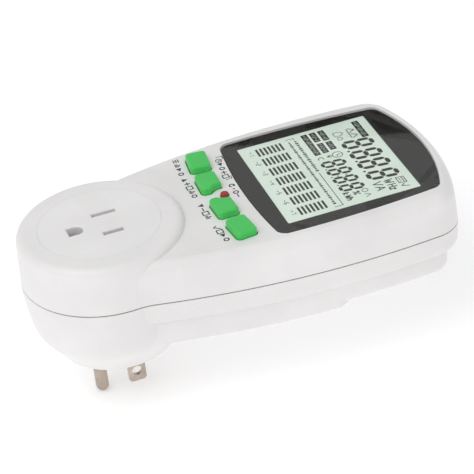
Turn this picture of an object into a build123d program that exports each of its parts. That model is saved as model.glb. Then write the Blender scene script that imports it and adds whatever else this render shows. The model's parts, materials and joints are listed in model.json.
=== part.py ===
from build123d import *
import os
from math import atan2, cos, degrees, radians, sin, sqrt, tan

# Plug-in power meter for a North American 5-15 outlet, in millimetres.
# The origin is on the ground prong's axis, in the plane of the plug's face.
# +Z points out of the front face, +Y runs towards the display end, +X is the reader's right.

# --- Heights of the main planes above the plug's face ---
Z_PLUG_RIM = 3.2
Z_HUMP = 10.9
Z_BLOCK = 12.5
Z_BAND = 19.0
Z_SEAM = 29.7
Z_FACE = 44.8
Z_DISC = 47.6

# --- Outline of the housing at the seam, made of arcs ---
HEAD_Y = 8.56
HEAD_R = 30.1
DISC_R = 29.2
HALF_WIDTH = 39.7
WIDE_Y = 89.0
SIDE_R = 285.0
END_Y = 133.3
END_R = 96.0
CORNER_R = 12.0
NECK_R = 20.0
NECK_Y_MAX = 45.0
FAR = 500.0

# --- Shell walls and edges ---
WALL = 2.2
FACE_WALL = 3.0
DISC_WALL = 2.6
DRAFT = 3.4
CAVITY_DRAFT = 11.3
CAVITY_BASE = 0.3
CROWN_R = 5.0
CROWN_CUT = 0.3
TOP_EDGE_R = 0.6
DISC_EDGE_R = 3.0
BAND_EDGE_R = 5.5
SEAM_GAP = 0.45
SEAM_DEPTH = 0.4
LIP_INSET = 1.25
LIP_HEIGHT = 1.3
LIP_GAP = 0.15

# --- Rear shell: block, hump and bowl ---
BLOCK_INSET = 2.0
BLOCK_END_Y = 128.7
BLOCK_CORNER_R = 8.0
BLOCK_EDGE_R = 3.0
BLOCK_DRAFT = 2.0
HUMP_END_Y = 91.0
HUMP_CORNER_R = 6.0
HUMP_EDGE_R = 1.4
BOWL_PROFILE = (
    (30.13, 29.7),
    (30.02, 25.0),
    (29.55, 20.2),
    (28.75, 14.2),
    (27.75, 10.6),
    (26.25, 8.1),
    (24.05, 5.3),
    (22.35, 3.0),
    (20.95, 0.4),
)
BOWL_FLOOR_Z = 6.5
BOWL_FLOOR_R = 19.4
BOWL_CAVITY_R = 25.4

# --- Blades, ground prong and plug base (5-15 plug) ---
BLADE_X = 6.35
BLADE_Y = 11.9
BLADE_T = 1.5
BLADE_W = 6.35
BLADE_LENGTH = 16.9
BLADE_TIP_CHAMFER = 1.2
BLADE_EDGE_CHAMFER = 0.42
BLADE_HOLE_R = 1.9
BLADE_HOLE_FROM_TIP = 4.6
BLADE_SHOULDER = 1.1
BLADE_TAIL_Z = 13.0
PRONG_LENGTH = 21.2
PRONG_R = 2.375
PRONG_ROOT_R = 2.7
PRONG_FLANGE_R = 3.5
PRONG_TAIL_R = 1.9
PRONG_TAIL_Z = 12.0
SHOULDER_Z = 4.5
PLUG_BASE_R = 18.9
PLUG_NECK_R = 16.9
PLUG_CHAMFER = 0.4
FIT_GAP = 0.05
CLAMP_R = 18.5
CLAMP_TOP_Z = 8.5
CLAMP_SCREW_X = 12.5
CLAMP_SCREW_Y = 3.0

# --- Socket face and contacts (5-15 receptacle) ---
INSERT_R = 21.5
INSERT_NECK_R = 19.5
INSERT_FLANGE_T = 1.2
INSERT_BOTTOM_Z = 43.6
SLOT_W = 2.2
LINE_SLOT = 7.2
NEUTRAL_SLOT = 8.6
SLOT_LEAD = 0.55
GROUND_HOLE_R = 2.65
GROUND_FLAT_Y = -2.75
BLOCK_BODY_R = 19.0
BLOCK_BODY_Z = 24.0
POCKET_FLOOR_Z = 27.0
POCKET_W = 4.4
POCKET_SLACK = 0.6
LEAF_T = 0.6
LEAF_GAP = 1.6
LEAF_TOP_Z = 42.2
LEAF_FLARE = 0.6
LINE_LEAF_W = 6.4
NEUTRAL_LEAF_W = 7.6
GROUND_LEAF_GAP = 4.4
GROUND_LEAF_W = 6.4
WEB_T = 0.8
TAIL_T = 0.8
TAIL_W = 5.0
LINE_TAIL_Z = 20.0
EAR_X = 22.6
EAR_R = 2.9
EAR_Z = (33.5, 36.0)

# --- Bus bars ---
BAR_T = 1.2
BAR_W = 5.0
BAR_FOOT = 2.0
BAR_FOOT_STICK = 0.6
BAR_END_GAP = 0.5
LINE_IN_Z = (14.0, 16.5)
LINE_IN_FOOT_Y = 42.0
LINE_OUT_Z = (20.6, 23.4)
LINE_OUT_FOOT_Y = 50.0

# --- Display lens, mask and LCD ---
LENS_HALF_WIDTH = 33.05
LENS_WIDE_Y = 80.0
LENS_SIDE_R = 350.0
LENS_END_Y = 128.6
LENS_END_R = 78.0
LENS_START_Y = 60.5
LENS_START_R = 214.0
LENS_CORNER_R = 4.0
LENS_T = 0.8
LENS_CHAMFER = 0.2
LENS_DROP = 0.05
LENS_GAP = 0.15
MASK_T = 0.1
WINDOW_W = 54.0
WINDOW_X = -0.8
WINDOW_Y = (68.1, 117.2)
WINDOW_CORNER_R = 0.6
SHELL_WINDOW_MARGIN = 1.6
LCD_MARGIN = 1.2
LCD_TOP_GAP = 0.06
LCD_GLASS_T = 1.1
LCD_FILL_T = 0.5
LCD_LEDGE = 1.8
REFLECTOR_T = 0.3
HOLDER_MARGIN = 2.6
HOLDER_TOP_Z = 41.4
HOLDER_RIB = 1.6
ZEBRA_T = 1.6
ZEBRA_W = 52.0

# --- Boards ---
BOARD_T = 1.6
BOARD_CORNER_R = 2.0
DISPLAY_BOARD_Z = 33.5
DISPLAY_BOARD_Y = (41.0, 119.8)
DISPLAY_BOARD_INSET = 3.9
POWER_BOARD_Z = 18.0
POWER_BOARD_Y = (38.0, 116.0)
POWER_BOARD_INSET = 5.6

# --- Keys: four caps on a shallow arc, and the reset button ---
KEY_W = 11.0
KEY_H = 7.6
KEY_CORNER_R = 1.5
KEY_EDGE_R = 1.0
KEY_PROUD = 2.8
KEY_GAP = 0.3
KEY_FLANGE = 0.7
KEY_FLANGE_T = 1.0
KEY_FLANGE_GAP = 0.1
KEY_ARC_Y = 50.9
KEY_ARC_R = 215.0
KEY_X = (-23.4, -8.6, 8.6, 23.4)
KEY_NAMES = ("menu", "up", "down", "enter")
KEY_NOTCH_R = 5.0
RESET_Y = 54.1
RESET_R = 1.45
RESET_EDGE_R = 0.4
RESET_PROUD = 1.15
RESET_GAP = 0.25
RESET_FLANGE_R = 2.4
SWITCH_SIDE = 6.0
SWITCH_T = 3.5
RESET_SWITCH_SIDE = 4.5
PLUNGER_R = 1.72
PLUNGER_GAP = 0.08
PLUNGER_TOP_Z = 39.9
PLUNGER_FOOT_Z = 37.3
SWITCH_BORE_Z = 36.3

# --- Fasteners ---
CASE_SCREWS = ((-12.0, 123.6), (12.0, 123.6), (-26.0, 30.0), (26.0, 30.0))
CASE_SCREW_R = 1.4
CASE_HEAD_R = 2.6
CASE_HEAD_T = 1.8
CASE_RECESS_R = 2.9
CASE_SEAT_Z = 17.0
CASE_SCREW_TOP_Z = 36.0
REAR_POST_R = 3.8
FRONT_POST_R = 2.8
SMALL_SCREW_R = 0.95
SMALL_HEAD_R = 1.9
SMALL_HEAD_T = 1.2
SMALL_POST_R = 2.0
SCREW_SLACK = 0.05
SMALL_SCREW_REACH = 4.5
SMALL_SCREW_GRIP = 3.4
DISPLAY_SCREWS = ((-20.5, 43.6), (20.5, 43.6), (-32.5, 117.0), (32.5, 117.0))
POWER_SCREWS = ((-26.0, 44.0), (26.0, 44.0), (-26.0, 110.0), (26.0, 110.0))
BLOCK_SCREWS = ((-EAR_X, HEAD_Y), (EAR_X, HEAD_Y))
CLAMP_SCREWS = ((-CLAMP_SCREW_X, CLAMP_SCREW_Y), (CLAMP_SCREW_X, CLAMP_SCREW_Y))
DRIVE_W = 0.5
DRIVE_DEPTH = 0.7
HEAD_EDGE = 0.35

# --- Components on the boards: centre in X and Y, then size ---
X_CAP = (-14.0, 60.0)
X_CAP_SIZE = (26.0, 11.0, 11.5)
X_CAP_EDGE_R = 0.8
MOV = (14.0, 60.0)
MOV_R = 4.8
MOV_T = 3.6
MOV_LIFT = 1.0
CAN = (-20.0, 82.0)
CAN_R = 4.0
CAN_H = 11.0
CAN_EDGE_R = 0.5
CAN_GROOVE_Z = 2.2
CAN_GROOVE_R = 0.35
BRIDGE = (-6.0, 76.0)
BRIDGE_SIZE = (8.4, 6.4, 3.2)
BRIDGE_LEADS = 2
RESISTOR = (9.0, 76.0)
RESISTOR_R = 1.9
RESISTOR_LENGTH = 9.0
RESISTOR_LEAD = 2.0
BATTERY = (12.0, 96.0)
BATTERY_R = 5.6
CELL_LENGTH = 5.2
CELL_PITCH = 5.5
CELL_NECK_R = 4.6
CELL_COUNT = 3
TAB_T = 0.3
TAB_W = 3.0
METER_CHIP = (-14.0, 98.0)
METER_CHIP_SIZE = (9.9, 3.9, 1.5)
METER_CHIP_LEADS = 8
CRYSTAL = (-14.0, 106.0)
CRYSTAL_SIZE = (10.8, 4.4, 3.4)
CRYSTAL_FOOT = (11.4, 5.0, 0.5)
SHUNT = (10.5, 46.0)
SHUNT_SIZE = (3.0, 11.0, 3.0)
SHUNT_T = 0.8
CONTROLLER = (0.0, 88.0)
CONTROLLER_SIZE = (13.0, 10.0, 1.5)
CONTROLLER_LEADS = 10
LINK_Y = 112.0
LINK_PINS = 8
LINK_PITCH = 2.54
LINK_PIN_W = 0.64
LINK_HOLE_W = 0.8
LINK_BODY_W = 2.5
LINK_BODY_H = 2.5
LINK_PIN_TOP_Z = 30.0
LINK_SOCKET_Z = 25.0
CHIP_PITCH = 1.27
CHIP_LIFT = 0.15
LEAD_R = 0.35
LEAD_W = 0.42
LEAD_T = 0.2
LEAD_REACH = 1.1

# --- Derived places ---
DISC_CAVITY_Z = Z_DISC - DISC_WALL
FACE_CAVITY_Z = Z_FACE - FACE_WALL
LENS_TOP_Z = Z_FACE - LENS_DROP
LENS_BOTTOM_Z = LENS_TOP_Z - LENS_T
MASK_BOTTOM_Z = LENS_BOTTOM_Z - MASK_T
LCD_TOP_Z = MASK_BOTTOM_Z - LCD_TOP_GAP
LCD_BOTTOM_Z = LCD_TOP_Z - 2 * LCD_GLASS_T - LCD_FILL_T
DISPLAY_TOP_Z = DISPLAY_BOARD_Z + BOARD_T
POWER_TOP_Z = POWER_BOARD_Z + BOARD_T
WINDOW_MID_Y = sum(WINDOW_Y) / 2
WINDOW_H = WINDOW_Y[1] - WINDOW_Y[0]
LCD_W = WINDOW_W + 2 * LCD_MARGIN
LCD_H = WINDOW_H + 2 * LCD_MARGIN
HOLDER_W = WINDOW_W + 2 * HOLDER_MARGIN
HOLDER_H = WINDOW_H + 2 * HOLDER_MARGIN
INSERT_LEDGE_Z = Z_DISC - INSERT_FLANGE_T
SLOPE = tan(radians(DRAFT))
CAVITY_SLOPE = tan(radians(CAVITY_DRAFT))
BLOCK_SLOPE = tan(radians(BLOCK_DRAFT))
BLOCK_TOP_Z = Z_BAND + BAND_EDGE_R
POST_FOOT_Z = Z_BLOCK + 0.3
BLOCK_PLAN = {"base": BLOCK_INSET, "end_y": BLOCK_END_Y, "corner_r": BLOCK_CORNER_R}
HUMP_PLAN = {"base": BLOCK_INSET, "end_y": HUMP_END_Y, "corner_r": HUMP_CORNER_R}


def write(piece, name):
    """Label a finished piece and write its STEP file."""
    piece.part.label = name
    export_step(piece.part, f"parts/{name}.step")


def key_place(x):
    """Centre and turn of the key at x on the arc of keys."""
    y = KEY_ARC_Y + KEY_ARC_R - sqrt(KEY_ARC_R**2 - x**2)
    return y, degrees(atan2(x, KEY_ARC_R))


def between(half_width, wide_y, side_r):
    """Lens-shaped region between two facing side arcs."""
    with BuildSketch(mode=Mode.PRIVATE) as region:
        with Locations((half_width - side_r, wide_y)):
            Circle(side_r)
        with Locations((side_r - half_width, wide_y)):
            Circle(side_r, mode=Mode.INTERSECT)
    return region.sketch


def body_outline(inset=0.0, base=0.0, end_y=END_Y, corner_r=CORNER_R):
    """Plan of the housing: round head, flared neck, arched display end.

    base moves the sides and the head inwards, inset moves the whole outline inwards.
    """
    side = base + inset
    with BuildSketch(mode=Mode.PRIVATE) as region:
        add(between(HALF_WIDTH - side, WIDE_Y, SIDE_R - side))
        with Locations((0, end_y - END_R)):
            Circle(END_R - inset, mode=Mode.INTERSECT)
        fillet(region.vertices().filter_by_position(Axis.Y, HEAD_Y, FAR), corner_r - inset)
        with Locations((0, HEAD_Y)):
            Rectangle(FAR, FAR, align=(Align.CENTER, Align.MAX), mode=Mode.SUBTRACT)
        with Locations((0, HEAD_Y)):
            Circle(HEAD_R - side)
        fillet(region.vertices().filter_by_position(Axis.Y, HEAD_Y + 1, NECK_Y_MAX), NECK_R + side)
    return region.sketch


def drafted(outline, start_z, end_z, slope, inset=0.0, **plan):
    """Ruled form that shrinks from its outline at start_z towards end_z."""
    shrink = abs(end_z - start_z) * slope
    with BuildPart(mode=Mode.PRIVATE) as form:
        with BuildSketch(Plane.XY.offset(start_z)):
            add(outline(inset=inset, **plan))
        with BuildSketch(Plane.XY.offset(end_z)):
            add(outline(inset=inset + shrink, **plan))
        loft(ruled=True)
    return form.part


def lens_outline(grow=0.0):
    """Plan of the display lens: four arcs with rounded corners."""
    with BuildSketch(mode=Mode.PRIVATE) as region:
        add(between(LENS_HALF_WIDTH + grow, LENS_WIDE_Y, LENS_SIDE_R + grow))
        with Locations((0, LENS_END_Y - LENS_END_R)):
            Circle(LENS_END_R + grow, mode=Mode.INTERSECT)
        with Locations((0, LENS_START_Y + LENS_START_R)):
            Circle(LENS_START_R + grow, mode=Mode.INTERSECT)
        fillet(region.vertices(), LENS_CORNER_R + grow)
    return region.sketch


def key_outline(x, grow=0.0):
    """Plan of one key cap, with its corner cut back round the reset button."""
    y, turn = key_place(x)
    with BuildSketch(mode=Mode.PRIVATE) as region:
        with Locations(Location((x, y), turn)):
            RectangleRounded(KEY_W + 2 * grow, KEY_H + 2 * grow, KEY_CORNER_R + grow)
        with Locations((0, RESET_Y)):
            Circle(KEY_NOTCH_R - grow, mode=Mode.SUBTRACT)
    return region.sketch


def ground_outline(grow=0.0):
    """D-shaped ground opening, flat towards the head's free end."""
    radius = GROUND_HOLE_R + grow
    with BuildSketch(mode=Mode.PRIVATE) as region:
        Circle(radius)
        with Locations((0, GROUND_FLAT_Y - grow)):
            Rectangle(2 * radius, grow - GROUND_FLAT_Y, align=(Align.CENTER, Align.MIN))
    return region.sketch


def board_outline(inset, span_y):
    """Plan of a circuit board that follows the housing's sides."""
    with BuildSketch(mode=Mode.PRIVATE) as region:
        add(body_outline(inset))
        with Locations((0, sum(span_y) / 2)):
            Rectangle(FAR, span_y[1] - span_y[0], mode=Mode.INTERSECT)
        fillet(region.vertices(), BOARD_CORNER_R)
    return region.sketch


def screws(places, head_bottom, head_r, head_t, shaft_r, shaft_top, upward=True):
    """Pan-head screws with a slot drive; upward ones have the head below the shaft."""
    way = 1 if upward else -1
    with BuildPart() as group:
        with BuildSketch(Plane.XY.offset(head_bottom)):
            with Locations(*places):
                Circle(head_r)
        extrude(amount=way * head_t)
        outer = group.edges().filter_by(GeomType.CIRCLE).group_by(Axis.Z)[0 if upward else -1]
        fillet(outer, head_t * HEAD_EDGE)
        with BuildSketch(Plane.XY.offset(head_bottom)):
            with Locations(*places):
                Rectangle(2 * head_r, DRIVE_W)
        extrude(amount=way * DRIVE_DEPTH, mode=Mode.SUBTRACT)
        with BuildSketch(Plane.XY.offset(head_bottom + way * head_t)):
            with Locations(*places):
                Circle(shaft_r)
        extrude(amount=shaft_top - head_bottom - way * head_t)
    return group


os.makedirs("parts", exist_ok=True)

# --- Front shell: face, raised socket disc, keys' openings, lens recess and posts ---
with BuildPart() as front_shell:
    add(drafted(body_outline, Z_SEAM, Z_FACE + CROWN_CUT, SLOPE))
    fillet(front_shell.faces().sort_by(Axis.Z)[-1].edges(), CROWN_R)
    with BuildSketch(Plane.XY.offset(Z_FACE)):
        Rectangle(FAR, FAR)
    extrude(amount=CROWN_CUT, mode=Mode.SUBTRACT)
    fillet(front_shell.faces().sort_by(Axis.Z)[-1].edges(), TOP_EDGE_R)
    with BuildSketch(Plane.YZ) as head_profile:
        with BuildLine():
            Polyline(
                (HEAD_Y, Z_SEAM),
                (HEAD_Y + HEAD_R, Z_SEAM),
                (HEAD_Y + DISC_R, Z_DISC),
                (HEAD_Y, Z_DISC),
                close=True,
            )
        make_face()
        fillet(head_profile.vertices().group_by(Axis.Z)[-1].sort_by(Axis.Y)[-1], DISC_EDGE_R)
    revolve(axis=Axis((0, HEAD_Y, 0), (0, 0, 1)))
    with BuildSketch(Plane.XY.offset(Z_SEAM)):
        add(body_outline(-SEAM_DEPTH))
        add(body_outline(SEAM_DEPTH), mode=Mode.SUBTRACT)
    extrude(amount=SEAM_GAP / 2, mode=Mode.SUBTRACT)
    # Hollow of the body, then of the head
    hollow = drafted(body_outline, Z_SEAM, FACE_CAVITY_Z, CAVITY_SLOPE, WALL, base=CAVITY_BASE)
    add(hollow, mode=Mode.SUBTRACT)
    with Locations((0, HEAD_Y, Z_SEAM)):
        Cone(
            HEAD_R - WALL,
            DISC_R - WALL,
            DISC_CAVITY_Z - Z_SEAM,
            align=(Align.CENTER, Align.CENTER, Align.MIN),
            mode=Mode.SUBTRACT,
        )
    # Rebate for the rear shell's lip
    with BuildSketch(Plane.XY.offset(Z_SEAM)):
        add(body_outline(LIP_INSET - LIP_GAP))
    extrude(amount=LIP_HEIGHT + LIP_GAP, mode=Mode.SUBTRACT)
    # Stepped hole for the socket face
    with BuildSketch(Plane.XY.offset(INSERT_LEDGE_Z)):
        with Locations((0, HEAD_Y)):
            Circle(INSERT_R + FIT_GAP)
    extrude(amount=INSERT_FLANGE_T, mode=Mode.SUBTRACT)
    with BuildSketch(Plane.XY.offset(DISC_CAVITY_Z)):
        with Locations((0, HEAD_Y)):
            Circle(INSERT_NECK_R + FIT_GAP)
    extrude(amount=DISC_WALL, mode=Mode.SUBTRACT)
    # Recess for the lens, with the display window through it
    with BuildSketch(Plane.XY.offset(MASK_BOTTOM_Z)):
        add(lens_outline(LENS_GAP))
    extrude(amount=Z_FACE - MASK_BOTTOM_Z, mode=Mode.SUBTRACT)
    with BuildSketch(Plane.XY.offset(FACE_CAVITY_Z)):
        with Locations((WINDOW_X, WINDOW_MID_Y)):
            RectangleRounded(
                WINDOW_W + 2 * SHELL_WINDOW_MARGIN, WINDOW_H + 2 * SHELL_WINDOW_MARGIN, WINDOW_CORNER_R
            )
    extrude(amount=FACE_WALL, mode=Mode.SUBTRACT)
    # Openings for the keys and the reset button
    with BuildSketch(Plane.XY.offset(FACE_CAVITY_Z)):
        for key_x in KEY_X:
            add(key_outline(key_x, KEY_GAP))
        with Locations((0, RESET_Y)):
            Circle(RESET_R + RESET_GAP)
    extrude(amount=FACE_WALL, mode=Mode.SUBTRACT)
    # Posts for the case screws, the display board and the contact block
    with BuildSketch(Plane.XY.offset(Z_SEAM)):
        with Locations(*CASE_SCREWS):
            Circle(FRONT_POST_R)
    extrude(amount=FACE_CAVITY_Z - Z_SEAM)
    with BuildSketch(Plane.XY.offset(DISPLAY_TOP_Z)):
        with Locations(*DISPLAY_SCREWS):
            Circle(SMALL_POST_R)
    extrude(amount=FACE_CAVITY_Z - DISPLAY_TOP_Z)
    with BuildSketch(Plane.XY.offset(EAR_Z[1])):
        with Locations(*BLOCK_SCREWS):
            Circle(SMALL_POST_R)
    extrude(amount=DISC_CAVITY_Z - EAR_Z[1])
    # Pilot holes
    with BuildSketch(Plane.XY.offset(Z_SEAM)):
        with Locations(*CASE_SCREWS):
            Circle(CASE_SCREW_R + SCREW_SLACK)
    extrude(amount=CASE_SCREW_TOP_Z + 1 - Z_SEAM, mode=Mode.SUBTRACT)
    with BuildSketch(Plane.XY.offset(DISPLAY_TOP_Z)):
        with Locations(*DISPLAY_SCREWS):
            Circle(SMALL_SCREW_R + SCREW_SLACK)
    extrude(amount=SMALL_SCREW_REACH, mode=Mode.SUBTRACT)
    with BuildSketch(Plane.XY.offset(EAR_Z[1])):
        with Locations(*BLOCK_SCREWS):
            Circle(SMALL_SCREW_R + SCREW_SLACK)
    extrude(amount=SMALL_SCREW_REACH, mode=Mode.SUBTRACT)
write(front_shell, "front_shell")

# --- Rear shell: band under the seam, inset block, hump and the bowl over the plug ---
with BuildPart() as band:
    add(drafted(body_outline, Z_SEAM, Z_BAND, SLOPE))
    fillet(band.faces().sort_by(Axis.Z)[0].edges(), BAND_EDGE_R)

with BuildPart() as block:
    add(drafted(body_outline, BLOCK_TOP_Z, Z_BLOCK, BLOCK_SLOPE, **BLOCK_PLAN))
    fillet(block.faces().sort_by(Axis.Z)[0].edges(), BLOCK_EDGE_R)

with BuildPart() as hump:
    add(drafted(body_outline, BLOCK_TOP_Z, Z_HUMP, BLOCK_SLOPE, **HUMP_PLAN))
    fillet(hump.faces().sort_by(Axis.Z)[0].edges(), HUMP_EDGE_R)

with BuildPart() as rear_shell:
    add(band.part)
    add(block.part)
    add(hump.part)
    with BuildSketch(Plane.YZ):
        with BuildLine():
            curve = Spline(*[(HEAD_Y + radius, z) for radius, z in BOWL_PROFILE])
            Polyline(curve @ 1, (HEAD_Y, BOWL_PROFILE[-1][1]), (HEAD_Y, Z_SEAM), curve @ 0)
        make_face()
    revolve(axis=Axis((0, HEAD_Y, 0), (0, 0, 1)))
    with BuildSketch(Plane.XY.offset(Z_SEAM)):
        add(body_outline(-SEAM_DEPTH))
        add(body_outline(SEAM_DEPTH), mode=Mode.SUBTRACT)
    extrude(amount=-SEAM_GAP / 2, mode=Mode.SUBTRACT)
    # Hollows, one wall inside each outer form
    add(drafted(body_outline, Z_SEAM, Z_BAND + WALL, SLOPE, WALL), mode=Mode.SUBTRACT)
    add(
        drafted(body_outline, BLOCK_TOP_Z, Z_BLOCK + WALL, BLOCK_SLOPE, WALL, **BLOCK_PLAN),
        mode=Mode.SUBTRACT,
    )
    add(
        drafted(body_outline, BLOCK_TOP_Z, Z_HUMP + WALL, BLOCK_SLOPE, WALL, **HUMP_PLAN),
        mode=Mode.SUBTRACT,
    )
    with BuildSketch(Plane.YZ):
        with BuildLine():
            Polyline(
                (HEAD_Y, BOWL_FLOOR_Z),
                (HEAD_Y + BOWL_FLOOR_R, BOWL_FLOOR_Z),
                (HEAD_Y + BOWL_CAVITY_R, Z_HUMP + WALL),
                (HEAD_Y + HEAD_R - WALL, Z_SEAM),
                (HEAD_Y, Z_SEAM),
                close=True,
            )
        make_face()
    revolve(axis=Axis((0, HEAD_Y, 0), (0, 0, 1)), mode=Mode.SUBTRACT)
    with BuildSketch():
        with Locations((0, HEAD_Y)):
            Circle(PLUG_BASE_R + FIT_GAP)
    extrude(amount=Z_PLUG_RIM, mode=Mode.SUBTRACT)
    with BuildSketch(Plane.XY.offset(Z_PLUG_RIM)):
        with Locations((0, HEAD_Y)):
            Circle(PLUG_NECK_R + FIT_GAP)
    extrude(amount=BOWL_FLOOR_Z - Z_PLUG_RIM, mode=Mode.SUBTRACT)
    # Lip that locates the front shell
    with BuildSketch(Plane.XY.offset(Z_SEAM - WALL)):
        add(body_outline(LIP_INSET))
        add(body_outline(WALL), mode=Mode.SUBTRACT)
    extrude(amount=WALL + LIP_HEIGHT)
    # Posts for the case screws and the power board
    with BuildSketch(Plane.XY.offset(POST_FOOT_Z)):
        with Locations(*CASE_SCREWS):
            Circle(REAR_POST_R)
    extrude(amount=Z_SEAM - POST_FOOT_Z)
    with BuildSketch(Plane.XY.offset(POST_FOOT_Z)):
        with Locations(*POWER_SCREWS):
            Circle(SMALL_POST_R)
    extrude(amount=POWER_BOARD_Z - POST_FOOT_Z)
    with BuildSketch(Plane.XY.offset(Z_HUMP)):
        with Locations(*CASE_SCREWS):
            Circle(CASE_RECESS_R)
    extrude(amount=CASE_SEAT_Z - Z_HUMP, mode=Mode.SUBTRACT)
    with BuildSketch(Plane.XY.offset(CASE_SEAT_Z)):
        with Locations(*CASE_SCREWS):
            Circle(CASE_SCREW_R + 2 * SCREW_SLACK)
    extrude(amount=Z_SEAM - CASE_SEAT_Z, mode=Mode.SUBTRACT)
    with BuildSketch(Plane.XY.offset(POWER_BOARD_Z)):
        with Locations(*POWER_SCREWS):
            Circle(SMALL_SCREW_R + SCREW_SLACK)
    extrude(amount=-SMALL_SCREW_REACH, mode=Mode.SUBTRACT)
write(rear_shell, "rear_shell")

# --- Plug base: the round foot that carries the blades and the ground prong ---
with BuildPart() as plug_base:
    with BuildSketch():
        with Locations((0, HEAD_Y)):
            Circle(PLUG_BASE_R)
    extrude(amount=Z_PLUG_RIM)
    chamfer(plug_base.faces().sort_by(Axis.Z)[0].edges(), PLUG_CHAMFER)
    with BuildSketch(Plane.XY.offset(Z_PLUG_RIM)):
        with Locations((0, HEAD_Y)):
            Circle(PLUG_NECK_R)
    extrude(amount=BOWL_FLOOR_Z - Z_PLUG_RIM)
    with BuildSketch():
        with Locations((-BLADE_X, BLADE_Y), (BLADE_X, BLADE_Y)):
            Rectangle(BLADE_T + 2 * FIT_GAP, BLADE_W + 2 * FIT_GAP)
        Circle(PRONG_ROOT_R + FIT_GAP)
    extrude(amount=BOWL_FLOOR_Z, mode=Mode.SUBTRACT)
    with BuildSketch(Plane.XY.offset(SHOULDER_Z)):
        with Locations((-BLADE_X, BLADE_Y), (BLADE_X, BLADE_Y)):
            Rectangle(BLADE_T + 2 * FIT_GAP, BLADE_W + 2 * BLADE_SHOULDER + 2 * FIT_GAP)
        Circle(PRONG_FLANGE_R + FIT_GAP)
    extrude(amount=BOWL_FLOOR_Z - SHOULDER_Z, mode=Mode.SUBTRACT)
    with BuildSketch(Plane.XY.offset(BOWL_FLOOR_Z)):
        with Locations(*CLAMP_SCREWS):
            Circle(SMALL_SCREW_R + SCREW_SLACK)
    extrude(amount=-SMALL_SCREW_REACH, mode=Mode.SUBTRACT)
write(plug_base, "plug_base")

# --- Clamp that holds the blades' shoulders and the prong's flange down ---
with BuildPart() as prong_clamp:
    with BuildSketch(Plane.XY.offset(BOWL_FLOOR_Z)):
        with Locations((0, HEAD_Y)):
            Circle(CLAMP_R)
        with Locations((-BLADE_X, BLADE_Y), (BLADE_X, BLADE_Y)):
            Rectangle(BLADE_T + 2 * FIT_GAP, BLADE_W + 2 * FIT_GAP, mode=Mode.SUBTRACT)
        Circle(PRONG_TAIL_R + FIT_GAP, mode=Mode.SUBTRACT)
        with Locations(*CLAMP_SCREWS):
            Circle(SMALL_SCREW_R + SCREW_SLACK, mode=Mode.SUBTRACT)
    extrude(amount=CLAMP_TOP_Z - BOWL_FLOOR_Z)
write(prong_clamp, "prong_clamp")


def blade(x):
    """Flat blade with chamfered tip, hole, shoulders and an inner tail."""
    with BuildPart() as piece:
        with BuildSketch(Plane.YZ.offset(x - BLADE_T / 2)):
            with Locations((BLADE_Y, -BLADE_LENGTH)):
                Rectangle(BLADE_W, BLADE_LENGTH + BLADE_TAIL_Z, align=(Align.CENTER, Align.MIN))
            with Locations((BLADE_Y, SHOULDER_Z)):
                Rectangle(
                    BLADE_W + 2 * BLADE_SHOULDER, BOWL_FLOOR_Z - SHOULDER_Z, align=(Align.CENTER, Align.MIN)
                )
            with Locations((BLADE_Y, BLADE_HOLE_FROM_TIP - BLADE_LENGTH)):
                Circle(BLADE_HOLE_R, mode=Mode.SUBTRACT)
        extrude(amount=BLADE_T)
        tip_edges = piece.edges().filter_by(Axis.X).group_by(Axis.Z)[0]
        chamfer(tip_edges, BLADE_TIP_CHAMFER)
        rims = piece.faces().sort_by(Axis.Z)[0].edges().filter_by(Axis.Y)
        chamfer(rims, BLADE_EDGE_CHAMFER)
    return piece


neutral_blade = blade(-BLADE_X)
write(neutral_blade, "neutral_blade")
line_blade = blade(BLADE_X)
write(line_blade, "line_blade")

# --- Ground prong: round-nosed pin with a flange and a tail inside ---
with BuildPart() as ground_prong:
    with BuildSketch(Plane.YZ):
        with BuildLine():
            Polyline(
                (0, PRONG_R - PRONG_LENGTH),
                (PRONG_R, PRONG_R - PRONG_LENGTH),
                (PRONG_R, 0),
                (PRONG_ROOT_R, 0),
                (PRONG_ROOT_R, SHOULDER_Z),
                (PRONG_FLANGE_R, SHOULDER_Z),
                (PRONG_FLANGE_R, BOWL_FLOOR_Z),
                (PRONG_TAIL_R, BOWL_FLOOR_Z),
                (PRONG_TAIL_R, PRONG_TAIL_Z),
                (0, PRONG_TAIL_Z),
                close=True,
            )
        make_face()
    revolve(axis=Axis.Z)
    with Locations((0, 0, PRONG_R - PRONG_LENGTH)):
        Sphere(PRONG_R)
write(ground_prong, "ground_prong")

# --- Socket face: round insert with two blade slots and the D-shaped ground hole ---
SLOTS = ((-BLADE_X, NEUTRAL_SLOT), (BLADE_X, LINE_SLOT))
with BuildPart() as socket_face:
    with BuildSketch(Plane.XY.offset(INSERT_BOTTOM_Z)):
        with Locations((0, HEAD_Y)):
            Circle(INSERT_NECK_R)
    extrude(amount=INSERT_LEDGE_Z - INSERT_BOTTOM_Z)
    with BuildSketch(Plane.XY.offset(INSERT_LEDGE_Z)):
        with Locations((0, HEAD_Y)):
            Circle(INSERT_R)
    extrude(amount=INSERT_FLANGE_T)
    with BuildSketch(Plane.XY.offset(INSERT_BOTTOM_Z)):
        for slot_x, slot_length in SLOTS:
            with Locations((slot_x, BLADE_Y)):
                Rectangle(SLOT_W, slot_length)
        add(ground_outline())
    extrude(amount=Z_DISC - INSERT_BOTTOM_Z, mode=Mode.SUBTRACT)
    mouths = socket_face.faces().sort_by(Axis.Z)[-1].inner_wires()
    chamfer(mouths.edges(), SLOT_LEAD)
write(socket_face, "socket_face")

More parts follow.
